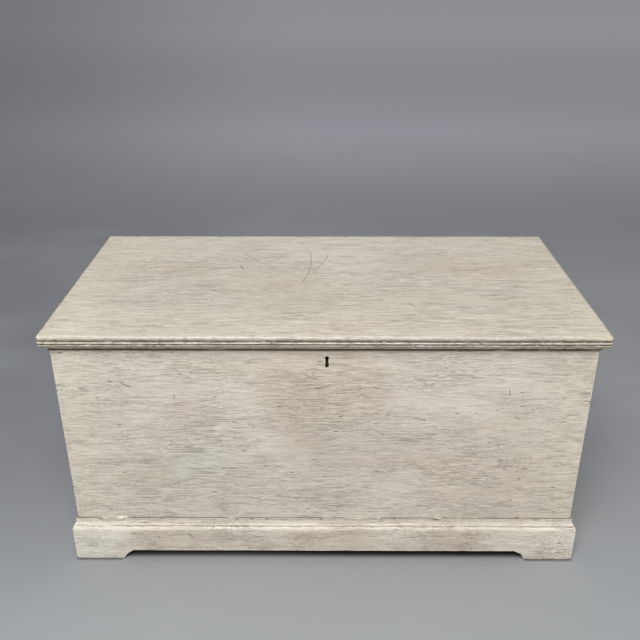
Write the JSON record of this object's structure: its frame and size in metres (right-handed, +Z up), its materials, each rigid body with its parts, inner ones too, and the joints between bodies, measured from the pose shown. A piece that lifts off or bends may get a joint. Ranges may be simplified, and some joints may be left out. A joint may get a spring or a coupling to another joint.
{
  "type": "blanket chest",
  "caption": "Painted wooden blanket chest with a moulded hinged lid, plain sides, a keyhole, and a moulded plinth cut into bracket feet",
  "frame": {"origin": "on the floor, under the middle of the closed lid", "axes": "+X along the front to the right, +Y from the front to the back, +Z up"},
  "size_m": [1, 0.513, 0.5024],
  "materials": {
    "painted_pine": "worn cream paint over pine",
    "bare_pine": "aged bare pine",
    "wrought_iron": "dark wrought iron",
    "steel": "dull steel"
  },
  "bodies": {
    "case": {"front_board": "painted_pine", "back_board": "painted_pine", "side_board_left": "painted_pine", "side_board_right": "painted_pine", "plinth_front": "painted_pine", "plinth_left": "painted_pine", "plinth_right": "painted_pine", "plinth_back": "painted_pine", "plinth_moulding_front": "painted_pine", "plinth_moulding_left": "painted_pine", "plinth_moulding_right": "painted_pine", "bottom_board_front": "bare_pine", "bottom_board_middle": "bare_pine", "bottom_board_back": "bare_pine", "foot_blocks": "bare_pine", "bottom_nails": "wrought_iron", "lock_plate": "wrought_iron", "lock_cap": "wrought_iron", "lock_key_pin": "wrought_iron", "lock_ward": "wrought_iron", "lock_stumps": "wrought_iron", "hinge_body_leaf_left": "wrought_iron", "hinge_body_leaf_right": "wrought_iron", "lock_spring": "steel", "lock_screws": "steel", "hinge_body_screws": "steel", "hinge_pin_left": "steel", "hinge_pin_right": "steel"},
    "lid": {"lid_board_front": "painted_pine", "lid_board_middle": "painted_pine", "lid_board_back": "painted_pine", "lid_moulding_front": "painted_pine", "lid_moulding_left": "painted_pine", "lid_moulding_right": "painted_pine", "hinge_lid_leaf_left": "wrought_iron", "hinge_lid_leaf_right": "wrought_iron", "hinge_lid_screws": "steel", "link_plate": "wrought_iron", "link_staple_left": "wrought_iron", "link_staple_right": "wrought_iron", "link_screws": "steel"},
    "bolt": {"lock_bolt": "wrought_iron"}
  },
  "joints": [
    {"name": "lid_hinge", "type": "hinge", "parent": "case", "child": "lid", "pos_m": [0, 0.2447, 0.4782], "axis": [-1, 0, 0], "range_deg": [0, 100]},
    {"name": "bolt_slide", "type": "slide", "parent": "case", "child": "bolt", "axis": [1, 0, 0], "range_m": [0, 0.007]}
  ]
}
